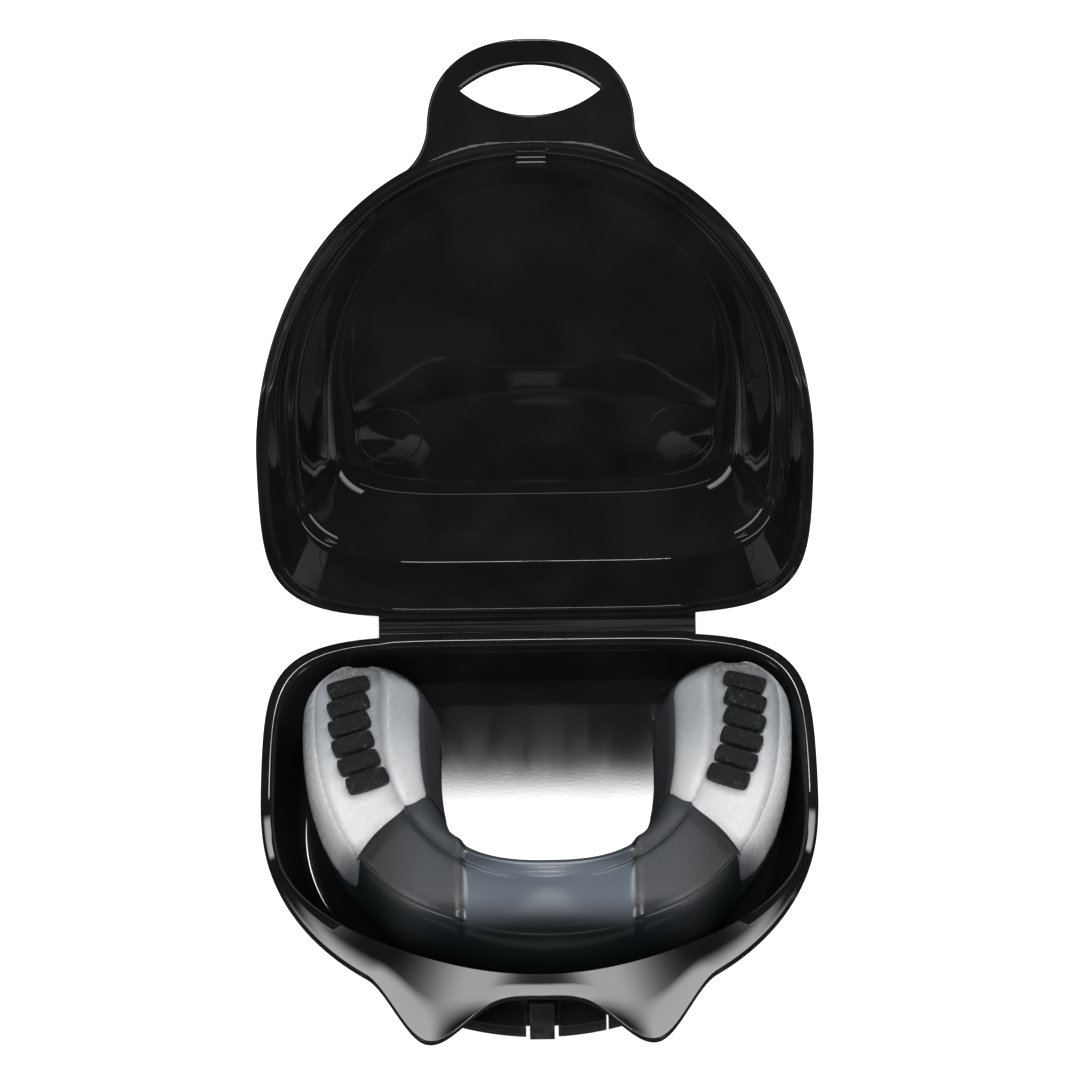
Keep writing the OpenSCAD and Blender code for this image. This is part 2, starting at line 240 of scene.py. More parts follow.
def skin(name, rings, body, material, sharp=42):
    """A closed solid through rings of points; each end is a flat cap with a narrow margin."""
    def margin(ring):
        return mix(ring, ring.mean(axis=0), 0.02)
    rings = [margin(rings[0]), *rings, margin(rings[-1])]
    n = len(rings[0])
    faces = [tuple(range(n - 1, -1, -1))]
    for j in range(len(rings) - 1):
        for i in range(n):
            a, b = j * n + i, j * n + (i + 1) % n
            faces.append((a, b, b + n, a + n))
    last = (len(rings) - 1) * n
    faces.append(tuple(range(last, last + n)))
    return make(name, np.concatenate(rings), faces, body, material, sharp)


def extruded(name, profile, xs, body, material, shape=None, bevel=0, sharp=42):
    """A closed solid: a profile of (y, z) points repeated at each x. shape may bend a section."""
    rings = []
    for x in xs:
        ring = np.array([(x, y, z) for y, z in profile], float)
        rings.append(shape(ring) if shape else ring)
    n = len(profile)
    faces = [tuple(range(n - 1, -1, -1)), tuple(range((len(rings) - 1) * n, len(rings) * n))]
    for j in range(len(rings) - 1):
        for i in range(n):
            a, b = j * n + i, j * n + (i + 1) % n
            faces.append((a, b, b + n, a + n))
    return make(name, np.concatenate(rings), faces, body, material, sharp, bevel)


# ---- materials ----

class Paint:
    """A node material with one principled shader, and short ways to add nodes to it."""

    def __init__(self, name, **sockets):
        self.material = bpy.data.materials.new(name)
        self.material.use_nodes = True
        self.tree = self.material.node_tree
        self.shader = self.tree.nodes["Principled BSDF"]
        for key, value in sockets.items():
            self.shader.inputs[key.replace("_", " ")].default_value = value
        self.where = self.tree.nodes.new("ShaderNodeTexCoord").outputs["Object"]

    def node(self, kind, links=(), **settings):
        made = self.tree.nodes.new("ShaderNode" + kind)
        for key, value in settings.items():
            setattr(made, key, value)
        for socket, value in dict(links).items():
            if isinstance(value, bpy.types.NodeSocket):
                self.tree.links.new(value, made.inputs[socket])
            else:
                made.inputs[socket].default_value = value
        return made

    def noise(self, scale, detail=3, roughness=0.5, stretch=None):
        where = self.where
        if stretch:
            where = self.node("Mapping", {"Vector": where, "Scale": stretch}).outputs["Vector"]
        links = {"Vector": where, "Scale": scale, "Detail": detail, "Roughness": roughness}
        return self.node("TexNoise", links).outputs["Fac"]

    def spread(self, value, low, high, to_low=0.0, to_high=1.0):
        links = {"Value": value, "From Min": low, "From Max": high, "To Min": to_low, "To Max": to_high}
        return self.node("MapRange", links, interpolation_type="SMOOTHSTEP").outputs["Result"]

    def blend(self, share, a, b):
        """Colour a where share is 0, colour b where it is 1."""
        links = {"Factor": share, 6: a, 7: b}
        made = self.tree.nodes.new("ShaderNodeMix")
        made.data_type = "RGBA"
        for socket, value in links.items():
            if isinstance(value, bpy.types.NodeSocket):
                self.tree.links.new(value, made.inputs[socket])
            else:
                made.inputs[socket].default_value = value
        return made.outputs[2]

    def maths(self, kind, a, b):
        return self.node("Math", {0: a, 1: b}, operation=kind).outputs["Value"]

    def axis(self, name):
        return self.node("SeparateXYZ", {"Vector": self.where}).outputs[name]

    def set(self, socket, value):
        self.tree.links.new(value, self.shader.inputs[socket])

    def bump(self, height, strength, distance, over=None):
        links = {"Height": height, "Strength": strength, "Distance": distance}
        if over:
            links["Normal"] = over
        return self.node("Bump", links).outputs["Normal"]


def case_plastic(name, wave, rough):
    """Black polypropylene from a polished mould, with faint flow marks and dust; its sharp edges are painted
    lighter as a sheen, and are rubbed rougher too.
    """
    sheen_and_wear = 0.5
    paint = Paint(name, IOR=1.5)
    tone = paint.spread(paint.noise(90, 4), 0.35, 0.7)
    black = paint.blend(tone, (0.0065, 0.0065, 0.007, 1), (0.0115, 0.0115, 0.0125, 1))
    # Sharp edges: a painted sheen in the colour, also rubbed wear that makes them rougher.
    edges = paint.spread(paint.node("NewGeometry").outputs["Pointiness"], 0.53, 0.6, 0, sheen_and_wear)
    edge_sheen_and_rubbing = paint.maths("MULTIPLY", edges, paint.spread(paint.noise(420, 4), 0.35, 0.65))
    paint.set("Base Color", paint.blend(edge_sheen_and_rubbing, black, (0.05, 0.05, 0.052, 1)))
    streaks = paint.spread(paint.noise(180, 5, 0.6, stretch=(1, 0.25, 1)), 0.3, 0.75, *rough)
    paint.set("Roughness", paint.maths("ADD", streaks, paint.maths("MULTIPLY", edge_sheen_and_rubbing, 0.15)))
    waves = paint.bump(paint.noise(26, 2), wave, 0.0006)
    paint.set("Normal", paint.bump(paint.noise(2600, 2), 0.02, 0.00002, over=waves))
    return paint.material


def hinge_plastic():
    """The same plastic where it is thin and flexed: duller, with stretch lines along the folds."""
    paint = Paint("hinge_plastic", IOR=1.5)
    lines = paint.noise(900, 3, 0.6, stretch=(0.02, 1, 1))
    tone = paint.spread(lines, 0.4, 0.75)
    paint.set("Base Color", paint.blend(tone, (0.008, 0.008, 0.0085, 1), (0.03, 0.03, 0.031, 1)))
    paint.set("Roughness", paint.spread(lines, 0.3, 0.8, 0.16, 0.34))
    paint.set("Normal", paint.bump(lines, 0.5, 0.00012))
    return paint.material


def clear_gel():
    """Milky translucent gel with a satin, slightly frosted skin."""
    paint = Paint("clear_gel", IOR=1.45, Subsurface_Weight=0.55, Subsurface_Radius=(1.0, 1.0, 1.0),
                  Subsurface_Scale=0.0022, Transmission_Weight=0.12)
    cloud = paint.spread(paint.noise(120, 3), 0.3, 0.7)
    rear_milk = paint.blend(cloud, (0.38, 0.40, 0.42, 1), (0.41, 0.43, 0.45, 1))
    front_milk = paint.blend(cloud, (0.69, 0.705, 0.72, 1), (0.72, 0.735, 0.75, 1))
    along = paint.axis("Y")
    milk = paint.blend(paint.spread(along, -0.002, 0.012, 1, 0), rear_milk, front_milk)
    frost = paint.spread(paint.noise(1500, 3), 0.3, 0.6, 0.7, 1)
    end = paint.maths("MULTIPLY", paint.spread(along, 0.0150, 0.0180), frost)
    milk = paint.blend(end, milk, (0.13, 0.135, 0.14, 1))
    tip = paint.spread(along, -0.0150, -0.0095)
    milk = paint.blend(tip, (0.12, 0.13, 0.145, 1), milk)
    depth = paint.spread(paint.axis("Z"), 0.0035, 0.0085)
    paint.set("Base Color", paint.blend(depth, (0.10, 0.16, 0.22, 1), milk))
    paint.set("Roughness", paint.spread(paint.noise(700, 4), 0.3, 0.7, 0.24, 0.29))
    paint.set("Normal", paint.bump(paint.noise(2400, 3), 0.03, 0.00004))
    return paint.material


def smoke_shell():
    """Smoky shell: slate blue in the thin middle panel, nearly black lobes with a fine stipple. A painted
    highlight sets off the panel's top band and the lobes' upper part, and painted shade turns the front foot
    black.
    """
    paint = Paint("smoke_shell", IOR=1.5)
    across = paint.node("Math", {0: paint.maths("SUBTRACT", paint.axis("X"), GUARD_X * MM)},
                        operation="ABSOLUTE").outputs["Value"]
    along = paint.axis("Y")
    middle = paint.spread(across, 0.0114, 0.0122, 1, 0)
    tone = paint.noise(160, 3)
    slate = paint.blend(tone, (0.10, 0.122, 0.148, 1), (0.125, 0.148, 0.176, 1))
    # Painted highlight: the panel behind its top band is painted darker, so the band stands out lighter.
    slate = paint.blend(paint.spread(along, -0.0180, -0.0155), slate, (0.055, 0.068, 0.082, 1))
    # Painted shade: the panel goes black towards the front foot of the face.
    slate = paint.blend(paint.spread(along, -0.0275, -0.0215), (0.006, 0.0085, 0.0095, 1), slate)
    # Painted highlight: the lobes are near black, but lighter in their upper part near the panel.
    lobe_painted_highlight = paint.maths("MULTIPLY", paint.spread(along, -0.0275, -0.0195),
                             paint.spread(across, 0.0165, 0.0245, 1, 0))
    lobe = paint.blend(tone, (0.042, 0.047, 0.053, 1), (0.055, 0.06, 0.066, 1))
    lobe = paint.blend(lobe_painted_highlight, (0.006, 0.0085, 0.0095, 1), lobe)
    colour = paint.blend(middle, lobe, slate)
    seam = paint.maths("SUBTRACT", across, 0.0119)
    seam = paint.node("Math", {0: seam}, operation="ABSOLUTE").outputs["Value"]
    seam = paint.spread(seam, 0.0001, 0.0007, 1, 0)
    paint.set("Base Color", paint.blend(paint.maths("MULTIPLY", seam, 0.7), colour, (0.006, 0.008, 0.01, 1)))
    on_top = paint.spread(along, -0.0255, -0.0185)
    outside_middle = paint.maths("SUBTRACT", 1, middle)
    grain_here = paint.maths("MULTIPLY", on_top, outside_middle)
    grain = paint.maths("MULTIPLY", paint.noise(3600, 3, 0.7), grain_here)
    paint.set("Roughness", paint.spread(grain, 0, 0.6, 0.2, 0.45))
    paint.set("Normal", paint.bump(grain, 0.5, 0.00012))
    return paint.material


def pad_rubber():
    """Black rubber with a coarse speckled grain; its lighter specks are painted glints."""
    paint = Paint("pad_rubber", IOR=1.5)
    speckle = paint.node("TexVoronoi", {"Vector": paint.where, "Scale": 2900}).outputs["Distance"]
    rough = paint.maths("ADD", paint.noise(1500, 4, 0.7), paint.maths("MULTIPLY", speckle, 0.5))
    # Painted glints: sparse lighter specks in the rubber's colour.
    glint = paint.spread(rough, 0.88, 1.1)
    paint.set("Base Color", paint.blend(glint, (0.006, 0.0065, 0.0065, 1), (0.07, 0.075, 0.075, 1)))
    paint.set("Roughness", paint.spread(rough, 0.5, 1.0, 0.62, 0.38))
    paint.set("Normal", paint.bump(rough, 0.9, 0.00025))
    return paint.material


GUARD_X = float(box_mm("guard_liner")[0][0] + box_mm("guard_liner")[1][0]) / 2

CASE = case_plastic("case_plastic", 0, (0.03, 0.05))
LID = case_plastic("lid_plastic", 0.06, (0.02, 0.05))
HINGE = hinge_plastic()
GEL = clear_gel()
SMOKE = smoke_shell()
PAD = pad_rubber()


# ---- base ----

BASE_SAG = 0.3
FOOT_IN = 1.2
BOWL_STEPS = np.linspace(0.1, 0.97, 16)


def bowl_ring(u, panel, panel_z, rim):
    """A ring part of the way from a flat panel to the rim, along a bowl-shaped profile."""
    across, up = 2 * u * (1 - u) * BASE_SAG + u * u, u * u
    flat = panel_ring(panel, panel_z)
    plan = mix(flat[:, :2], rim[:, :2], across)
    return np.column_stack([plan, mix(flat[:, 2], rim[:, 2], up)])


def base_tray():
    under = lip_ring(-1, -FLANGE_T)
    foot = shrunk(FLOOR, FOOT_IN)
    keys = [
        (panel_ring(shrunk(foot, 2.2), -PARTING_Z + 0.35), 0),
        (panel_ring(shrunk(foot, 1.8), -PARTING_Z), 0.3),
        (panel_ring(foot, -PARTING_Z), 0.8),
    ]
    keys += [(bowl_ring(u, shrunk(FLOOR, -0.6), -PARTING_Z, under), 0) for u in BOWL_STEPS]
    keys += [
        (under, 0.4), (rim_ring(0, -FLANGE_T, True), 0.3), (rim_ring(0, -0.1, True), 0.4),
        *((ring, 0) for ring in lip_surface()), (lip_ring(0.2, -0.35), 0.9),
    ]
    lip = lip_ring(0.5, -1.2)
    keys += [(bowl_ring(u, FLOOR, -TRAY_DEPTH, lip), 0) for u in BOWL_STEPS[::-1]]
    keys.append((panel_ring(FLOOR, -TRAY_DEPTH), 0))
    rings = rounded([k[0] for k in keys], [k[1] for k in keys])
    piece = skin("base_shell", [put(r) for r in rings], "base", CASE)
    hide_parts("base_tray")


base_tray()


# ---- lid ----

OPEN = np.array(
    Matrix.Translation((0, HINGE_Y, FOLD_LOW[2])) @ Matrix.Rotation(-HALF_OPEN, 4, "X")
    @ Matrix.Translation((0, 0, STRIP_LEN)) @ Matrix.Rotation(-HALF_OPEN, 4, "X")
    @ Matrix.Translation((0, -HINGE_Y, -PARTING_Z - STRIP_LEN / 2)))
LID_LEVELS = ((0.08, 0.2), (0.2, 0.5), (0.24, 0.53), (0.36, 0.56), (0.6, 0.77), (0.8, 0.92), (0.92, 0.98))


def opened(points):
    """Turns points of the shut lid to where the lid stands open."""
    return points @ OPEN[:3, :3].T + OPEN[:3, 3]


def lid_ring(level, panel, panel_z, rim):
    flat = panel_ring(panel, panel_z)
    plan = mix(rim[:, :2], flat[:, :2], level[0])
    return np.column_stack([plan, mix(rim[:, 2], flat[:, 2], level[1])])


def lid_shell():
    top = rim_ring(0.5, FLANGE_T, False)
    lip = rim_ring(FLANGE_W + 0.2, 0.7, False)
    inside = [(lid_ring((1, 1), shrunk(ROOF, 1.5), LID_DEPTH, lip), 0)]
    inside += [(lid_ring(level, ROOF, LID_DEPTH, lip), 1.0) for level in LID_LEVELS[::-1]]
    rim = [
        (rim_ring(FLANGE_W + 0.15, 0.7, False), 0.3), (rim_ring(FLANGE_W, 0.1, False), 0.3),
        (rim_ring(1.05, 0.1, False), 0.12), (rim_ring(0.95, 0.35, False), 0.12),
        (rim_ring(0.65, 0.35, False), 0.12), (rim_ring(0.55, 0.1, False), 0.12),
        (rim_ring(0, 0.1, False), 0.3), (rim_ring(0, FLANGE_T, False), 0.4), (top, 0.3),
    ]
    outside = [(lid_ring(level, shrunk(ROOF, -1.3), LID_DEPTH + WALL, top), 1.0) for level in LID_LEVELS]
    outside.append((lid_ring((1, 1), shrunk(ROOF, -0.6), LID_DEPTH + WALL, top), 0))
    keys = inside + rim + outside
    rings = rounded([k[0] for k in keys], [k[1] for k in keys])
    piece = skin("lid_shell_moulding", [opened(put(r)) for r in rings], "lid", LID)
    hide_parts("lid_shell")


lid_shell()


# ---- carry loop ----

SLOPE_ANGLE = math.atan(SLOPE)
SLOPE_FROM = BEND_FROM + BEND_OVER / 2
LOOP_HALF_W = 14.4
LOOP_END_D = 82.5
LOOP_ROOT_D = 70.8
LOOP_POWER = 2.3
LOOP_T = 1.4
HOLE_D = 75.9
HOLE_HALF_L = 9.7
HOLE_HALF_H = 3.5
FLARE_R = 9


def along(d):
    """A distance d in front of the hinge, measured on the sloping front plane, as minus Y there."""
    return -(d - SLOPE_FROM) / math.cos(SLOPE_ANGLE)


def on_slope(points):
    """From the sloping plane's own (x, along, height) to the open lid in the frame."""
    turn = np.array(Matrix.Translation((0, WIDEST_D - SLOPE_FROM, PARTING_Z))
                    @ Matrix.Rotation(-SLOPE_ANGLE, 4, "X"))
    return opened(points @ turn[:3, :3].T + turn[:3, 3])


def rim_on_slope(inset):
    """The right half of the rim's front, from the side to the middle."""
    t = np.linspace(0.3, math.pi / 2, 600)
    x, d = outline(t, shrunk(RIM, inset))
    return np.stack([x, along(d)], axis=1)


def loop_outline():
    """The loop's closed outline: rim, hollow flare, side and rounded end, mirrored."""
    rim = rim_on_slope(0)
    centre_x = LOOP_HALF_W + FLARE_R
    beyond = rim[rim[:, 0] < centre_x + FLARE_R]
    low, high = along(90), along(55)
    for _ in range(50):
        centre_y = (low + high) / 2
        near = np.hypot(beyond[:, 0] - centre_x, beyond[:, 1] - centre_y).min()
        if near > FLARE_R:
            low = centre_y
        else:
            high = centre_y
    gap = np.hypot(beyond[:, 0] - centre_x, beyond[:, 1] - centre_y)
    touch = beyond[gap.argmin()]
    start = math.atan2(touch[1] - centre_y, touch[0] - centre_x)
    arc = [(centre_x + FLARE_R * math.cos(a), centre_y + FLARE_R * math.sin(a))
           for a in np.linspace(start, math.pi, 24)]
    end_l = LOOP_END_D - LOOP_ROOT_D
    tip = [(LOOP_HALF_W * math.cos(a) ** (2 / LOOP_POWER),
            along(LOOP_ROOT_D + end_l * math.sin(a) ** (2 / LOOP_POWER)))
           for a in np.linspace(0, math.pi / 2, 30)]
    tip = [p for p in tip if p[1] < centre_y - 0.1]
    inner = rim_on_slope(0.5)
    root = inner[inner[:, 0] < touch[0] - 0.3][::6][::-1]
    half = [tuple(p) for p in root] + arc + tip
    mirrored = [(-x, y) for x, y in half[::-1]]
    return half + mirrored[1:-1]


def hole_outline():
    """The pointed oval of the finger hole: two arcs of one circle."""
    r = (HOLE_HALF_L ** 2 + HOLE_HALF_H ** 2) / 2 / HOLE_HALF_H
    reach = math.asin(HOLE_HALF_L / r)
    points = []
    for side in (1, -1):
        for a in np.linspace(-reach, reach, 33)[:-1]:
            points.append((side * r * math.sin(a), along(HOLE_D) + side * (r * math.cos(a) - r + HOLE_HALF_H)))
    return points


def plate(name, outlines, thickness, edge, lift):
    """A flat plate with rounded edges on the lid's sloping front plane, from closed outlines."""
    curve = bpy.data.curves.new(name, "CURVE")
    curve.dimensions = "2D"
    curve.fill_mode = "BOTH"
    curve.extrude = thickness / 2 - edge
    curve.bevel_depth = edge
    curve.bevel_resolution = 3
    curve.offset = -edge
    for points in outlines:
        spline = curve.splines.new("POLY")
        spline.points.add(len(points) - 1)
        spline.use_cyclic_u = True
        for p, (x, y) in zip(spline.points, points):
            p.co = (x, y, 0, 1)
    carrier = bpy.data.objects.new(name + "_curve", curve)
    bpy.context.scene.collection.objects.link(carrier)
    flat = bpy.data.meshes.new_from_object(carrier.evaluated_get(bpy.context.evaluated_depsgraph_get()))
    bpy.data.objects.remove(carrier)
    verts = np.array([v.co for v in flat.vertices]) + (0, 0, lift + thickness / 2)
    faces = [tuple(p.vertices) for p in flat.polygons]
    return make(name, on_slope(verts), faces, "lid", LID, sharp=50)


def carry_loop():
    piece = plate("finger_loop", [loop_outline(), hole_outline()], LOOP_T - 0.1, 0.42, 0.22)
    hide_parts("carry_loop")


carry_loop()


# ---- hinge strip ----

def hinge_strip():
    """A thin web with creases along it, and a round bead on each fold line."""
    thick, bead, creases = 0.62, 0.6, 3
    lean = np.array([math.sin(HALF_OPEN), math.cos(HALF_OPEN)])
    out = np.array([-lean[1], lean[0]])
    foot = FOLD_LOW[1:]
    front, back = [], []
    for u in np.linspace(0.16, 0.84, 25):
        half = thick / 2 * (1 - 0.16 * (0.5 + 0.5 * math.cos(2 * math.pi * creases * (u - 0.16) / 0.68)))
        at = foot + lean * STRIP_LEN * u
        front.append(at + out * half)
        back.append(at - out * half)
    def bead_arc(centre, start, stop):
        turn = math.atan2(lean[1], lean[0])
        return [centre + bead * np.array([math.cos(turn + a), math.sin(turn + a)])
                for a in np.radians(np.linspace(start, stop, 17))]
    low = bead_arc(foot, 328, 32)
    high = bead_arc(foot + lean * STRIP_LEN, 148, -148)
    profile = low + front + high + back[::-1]
    piece = extruded("living_hinge", profile, np.linspace(-STRIP_HALF, STRIP_HALF, 61),
                     "strip", HINGE, sharp=60)
    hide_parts("hinge_strip")


hinge_strip()


# ---- front skirt, latch tongue and catch ----

def wall_y(x, z):
    """Where the outside of the base's front wall is, at that x and height."""
    top = lip_ring(-1, -FLANGE_T)
    ys, zs = [], []
    for u in np.linspace(0.4, 1, 25):
        ring = put(bowl_ring(u, shrunk(FLOOR, -0.6), -PARTING_Z, top))[IN_FRONT]
        ring = ring[np.argsort(ring[:, 0])]
        ys.append(np.interp(x, ring[:, 0], ring[:, 1]))
        zs.append(np.interp(x, ring[:, 0], ring[:, 2]))
    return float(np.interp(z, zs, ys))


def front_ledge():
    """The bowed ledge under the thumb notch: its middle part stands back behind the tongue."""
    low, high = box_mm("front_skirt")
    radius, slot_half, slot_deep, in_wall = 39, 2.2, 1.7, 0.7
    nick, nick_half, half_w = 8.9, 0.13, 12.5
    z0, z1 = float(low[2]), float(high[2])
    parts = {
        "left": (-half_w, -slot_half, 0), "middle": (-slot_half, slot_half, slot_deep),
        "right": (slot_half, nick - nick_half, 0), "right_end": (nick + nick_half, half_w, 0),
    }
    for label, (start, stop, back_by) in parts.items():
        rings = []
        for x in np.linspace(start, stop, 24):
            y = float(low[1]) + radius - math.sqrt(radius ** 2 - x * x) + back_by
            back = [wall_y(x, z) + in_wall for z in (z1, z0)]
            section = [(y + 0.5, z0), (y, z0 + 0.5), (y, z1 - 0.5), (y + 0.15, z1 - 0.15), (y + 0.5, z1),
                       (mix(y, back[0], 0.5), z1 + 0.15), (back[0], z1 + 0.3), (back[1], z0)]
            rings.append(np.array([(x, *point) for point in section]))
        piece = skin("front_ledge_" + label, rings, "base", CASE, sharp=50)
        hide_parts("front_skirt")


def latch_tongue():
    low, high = box_mm("latch_tongue")
    y0, y1, z0, z1 = float(low[1]), float(high[1]), float(low[2]), float(high[2])
    profile = [(y0 + 0.15, z0), (y1, z0), (y1, z1 - 0.5), (y1 - 0.35, z1), (y0 + 0.2, z1),
               (y0, z1 - 0.4), (y0, z1 - 1.1), (y0 + 0.25, z1 - 1.5), (y0 + 0.15, z1 - 2.4)]
    piece = extruded("snap_tongue", profile, np.linspace(low[0], high[0], 9),
                     "tongue", CASE, bevel=0.15)
    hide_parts("latch_tongue")


def lid_catch():
    """The catch drawn as on the shut lid, then opened with it."""
    catch_d, thick, low, top, half_w = 66.8, 1.1, 11, 15.6, 2.1
    y1 = WIDEST_D - catch_d
    y0 = y1 - thick
    z0, z1 = PARTING_Z + low, PARTING_Z + top
    profile = [(y0 + 0.3, z0), (y1 - 0.35, z0), (y1, z0 + 0.5), (y1, z1), (y0 - 0.5, z1), (y0 - 0.5, z1 - 1.2),
               (y0, z1 - 2.2), (y0, z0 + 0.4)]
    piece = extruded("snap_catch", profile, np.linspace(-half_w, half_w, 9),
                     "lid", LID, shape=opened, bevel=0.15)
    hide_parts("lid_catch")


front_ledge()
latch_tongue()
lid_catch()


# ---- round mould marks ----

def mould_mark(name, x, d, height, radius, body, node, place):
    """A thin raised ring, left by a round pin of the mould."""
    around, across, wire, proud = 64, 10, 0.16, 0.05
    verts, faces = [], []
    for i in range(around):
        a = 2 * math.pi * i / around
        for j in range(across):
            b = 2 * math.pi * j / across
            r = radius + wire * math.cos(b)
            rise = (proud - wire + wire * math.sin(b)) * (1 if height < 0 else -1)
            verts.append((x + r * math.cos(a), d + r * math.sin(a), height + rise))
            p, q = (i + 1) % around * across, (j + 1) % across
            faces.append((i * across + j, p + j, p + q, i * across + q))
    piece = make(name, place(put(verts)), faces, body, CASE, sharp=80)
    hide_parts(node)


for side, label in ((-1, "left"), (1, "right")):
    mould_mark("floor_mark_" + label, side * 20.9, 8.3, -TRAY_DEPTH, 4.7, "base", "base_tray", np.asarray)
    mould_mark("roof_mark_" + label, side * 20.7, 20, LID_DEPTH, 4.5, "lid", "lid_shell", opened)


# ---- mouthguard ----

ARCH_D = 16
ARM_L = 7.6
ARM_BEND = 0.0006
END_ROUND = 5
END_REACH = END_ROUND / math.sqrt(0.85)   # the rounding would close after this length
END_DROP = 0.8
ARM_MID = 26
RISE_FROM = 24

# Lines round the guard, in the order of its section: half width, reach in front of the arms,
# roundness, height on the arms, height at the front
LINES = {
    "outer_low": (31.6, 40.7, 2.1, -8.2, -5.8),
    "outer_bulge": (34.2, 41.9, 2.1, -3, 1),
    "outer_shoulder": (34.1, 41.1, 2.1, 1.5, 6.5),
    "outer_rim": (32.8, 39.1, 2.15, 4.8, 10),
    "bite_outer": (31.4, 37.1, 2.2, 4.2, 11),
    "bite_inner": (24.8, 32, 1.9, 4.2, 11.2),
    "ridge": (22.4, 29.8, 2.2, 5, 11),
    "inner_edge": (18.3, 27.3, 2.6, 3.6, 10.3),
    "lingual_mid": (16.1, 25.9, 2.8, -1.5, 5),
    "lingual_low": (15.2, 25.2, 2.8, -6, 1.5),
    "lingual_in": (17.2, 27.2, 2.8, -6, 1.5),
    "channel_in": (20.8, 29.5, 2.3, 0.8, 6.4),
    "channel_out": (29.8, 35.7, 2.2, 0.8, 6.4),
    "outer_in": (29.6, 38.1, 2.1, -8.2, -5.8),
}
Q_END = -(ARM_L - END_ROUND + END_REACH) + 0.02


def guard_line(q, line):
    """Points of one line at the stations q: below 0 on the right arm, 0 to 180 round the arch."""
    half, reach, power, arm_h, front_h = line
    t = np.radians(np.clip(q, 0, 180))
    over = np.where(q < 0, -q, np.where(q > 180, q - 180, 0))
    end = np.clip((over - (ARM_L - END_ROUND)) / END_REACH, 0, 1)
    r = np.sqrt(1 - end * end)
    x = half * np.abs(np.cos(t)) ** (2 / power) * (1 - ARM_BEND * over * over)
    x = np.where(over > 0, mix(ARM_MID, x, r), x)
    d = ARCH_D - over + reach * np.sin(t) ** (2 / power)
    front_d = ARCH_D + reach
    taller = (np.maximum(0, d - RISE_FROM) / (front_d - RISE_FROM)) ** 1.7
    h = mix(arm_h, front_h, taller) - (1 - r) * (END_DROP if arm_h > 0 else 0)
    if line in (LINES["bite_outer"], LINES["bite_inner"]):
        h = h - 0.3 + 0.75 * ease((over - 5.7) / 1.1)
    closing = np.clip(r / 0.5, 0, 1)
    h = mix(-1.0, h, np.sqrt(1 - (1 - closing) ** 2))
    return np.stack([np.where(q < 90, x, -x) + GUARD_X, d, h], axis=-1)


def guard_at(q, v):
    """Smooth surface point at station q and place v along the section, one whole number per line."""
    q, v = np.broadcast_arrays(np.asarray(q, float), np.asarray(v, float))
    lines = list(LINES.values())
    n = len(lines)
    base = np.floor(v).astype(int)
    u = (v - base)[..., None]
    stack = np.stack([guard_line(q, line) for line in lines])
    index = np.indices(q.shape)

    def ctrl(k):
        return stack[((base + k) % n, *index)]
    p0, p1, p2, p3 = ctrl(-1), ctrl(0), ctrl(1), ctrl(2)
    out = 0.5 * (2 * p1 + (p2 - p0) * u + (2 * p0 - 5 * p1 + 4 * p2 - p3) * u ** 2
                 + (3 * p1 - p0 - 3 * p2 + p3) * u ** 3)
    x, d, h = np.moveaxis(out, -1, 0)
    return np.stack([x, WIDEST_D - d, PARTING_Z + h], axis=-1)


def guard_normal(q, v):
    """Unit normals of the guard's surface, pointing outwards."""
    along_q = guard_at(np.minimum(q + 0.4, 180 - Q_END), v) - guard_at(np.maximum(q - 0.4, Q_END), v)
    along_v = guard_at(q, v + 0.05) - guard_at(q, v - 0.05)
    n = np.cross(along_v, along_q)
    return n / np.maximum(np.linalg.norm(n, axis=-1), 1e-9)[..., None]


# Where the dark front shell starts round the arch, at places along the section. The clear arm
# runs over it in a tongue whose tip is on the outer rim.
EDGE_V = np.array([0, 0.6, 0.85, 1.0, 1.1, 1.25, 1.45, 1.7, 2.1, 3, 4, 4.5, 5.4, 6.4, 7.1, 9.6])
EDGE_Q = np.array([-6.5, -6, -2, 12, 21, 29, 36, 39.5, 40, 38.5, 36.5, 33.5, 31.5, 29, 23, 22])
FLANGE_V = (7.15, 9.6)          # the dark flange on the tongue's side runs on along the arms
FLANGE_TO_Q = 23


def shell_start(v):
    return sum(np.interp(v + shift, EDGE_V, EDGE_Q) for shift in (-0.2, -0.1, 0, 0.1, 0.2)) / 5


def flange_start(q):
    """The flange's upper edge, which climbs over the inner corner of the arm's end."""
    from_end = np.where(q < 90, q, 180 - q)
    return FLANGE_V[0] - 1.0 * ease((-from_end - 4.8) / 3)


def covered(q, v):
    """1 where the dark shell covers the liner, fading to 0 within 1.5 degrees outside it."""
    from_end = np.where(q < 90, q, 180 - q)
    inside = ease((from_end - shell_start(v)) / 1.5 + 1)
    on_flange = (v > flange_start(q) + 0.03) & (v < FLANGE_V[1])
    return np.where((v >= 0) & (v <= EDGE_V[-1]), np.maximum(inside, on_flange), 0)


def stations(fine=1.5):
    arm = np.concatenate([Q_END + (1 - np.cos(np.linspace(0, math.pi / 2, 14))) * END_REACH,
                          np.linspace(Q_END + END_REACH + 0.5, -0.5, 5)])
    arch = np.arange(0, 180.01, fine)
    return np.concatenate([arm, arch, 180 - arm[::-1]])


def gel_liner():
    q = stations()[:, None]
    v = np.linspace(0, len(LINES), 113)[:-1][None, :]
    q, v = np.broadcast_arrays(q, v)
    skin_in = 0.45 * covered(q, v)
    points = guard_at(q, v) - guard_normal(q, v) * skin_in[..., None]
    piece = skin("gel_liner", list(points), "guard", GEL, sharp=60)
    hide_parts("guard_liner")


